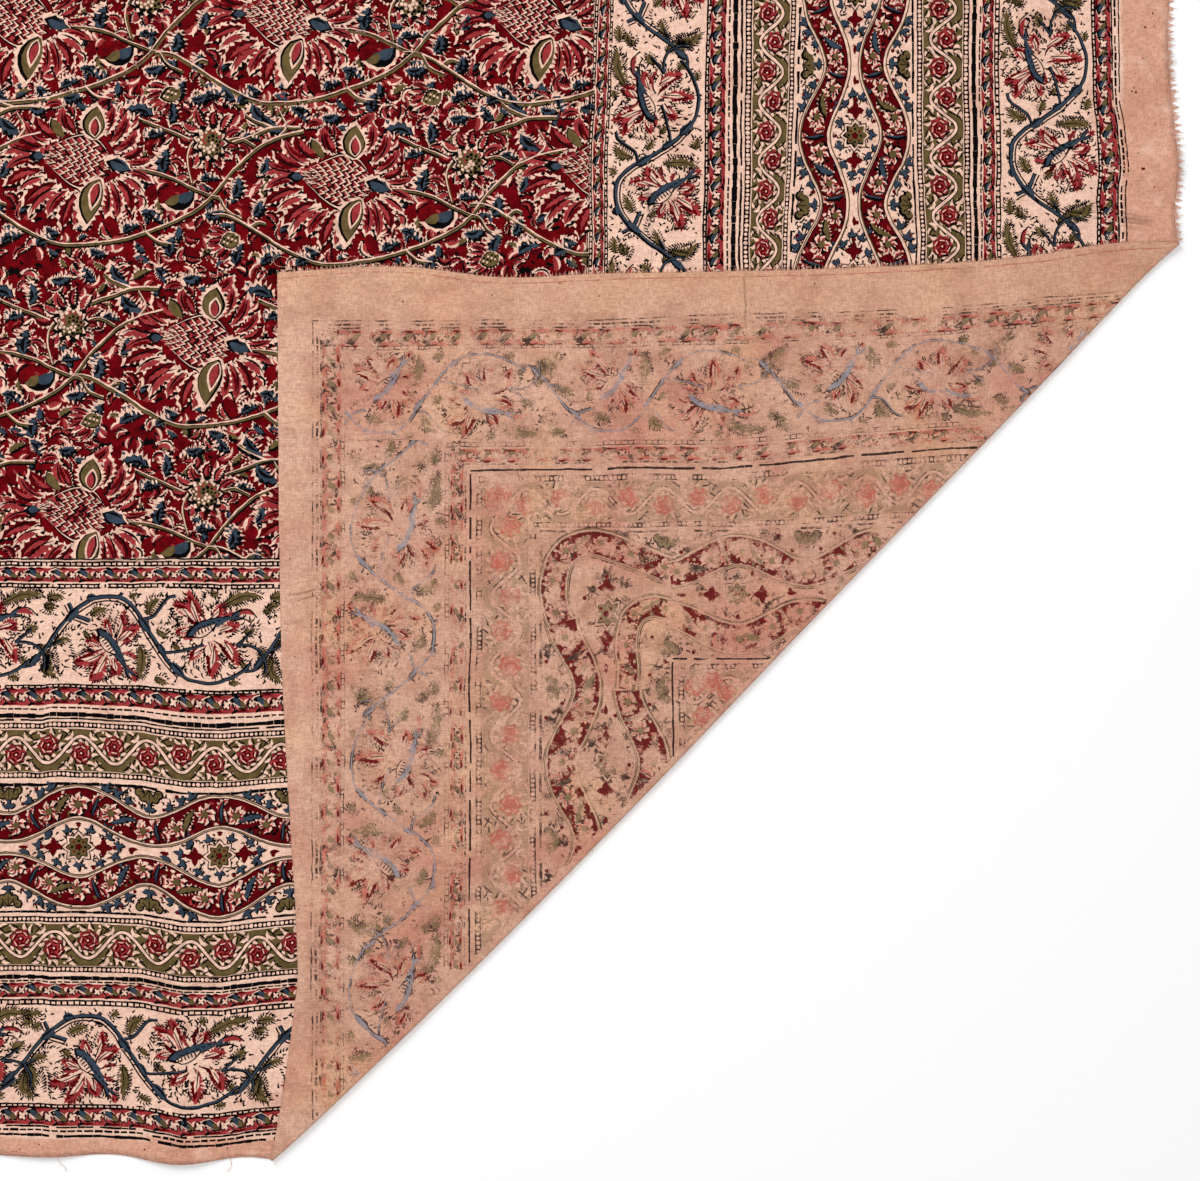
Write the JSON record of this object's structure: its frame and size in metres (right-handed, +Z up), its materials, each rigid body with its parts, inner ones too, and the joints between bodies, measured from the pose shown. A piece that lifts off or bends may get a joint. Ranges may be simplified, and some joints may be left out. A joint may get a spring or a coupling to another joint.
{
  "type": "block-printed cotton cloth with one corner turned back",
  "caption": "Flat cut length of block-printed cotton with vine and ribbon borders round a flowered field, one corner folded back to show the paler reverse.",
  "frame": {"origin": "on the resting surface, under the middle of the cloth's overall outline", "axes": "+X to the right along the far cut edge, +Y away from the viewer towards the far cut edge, +Z up out of the surface"},
  "size_m": [0.9933, 0.9789, 0.0076],
  "materials": {
    "printed_cotton": "plain-weave cotton, block-printed in madder red, rose, olive, slate blue and black on a peach ground, with a paler reverse"
  },
  "bodies": {
    "root": {"printed_cloth": "printed_cotton"}
  },
  "joints": []
}
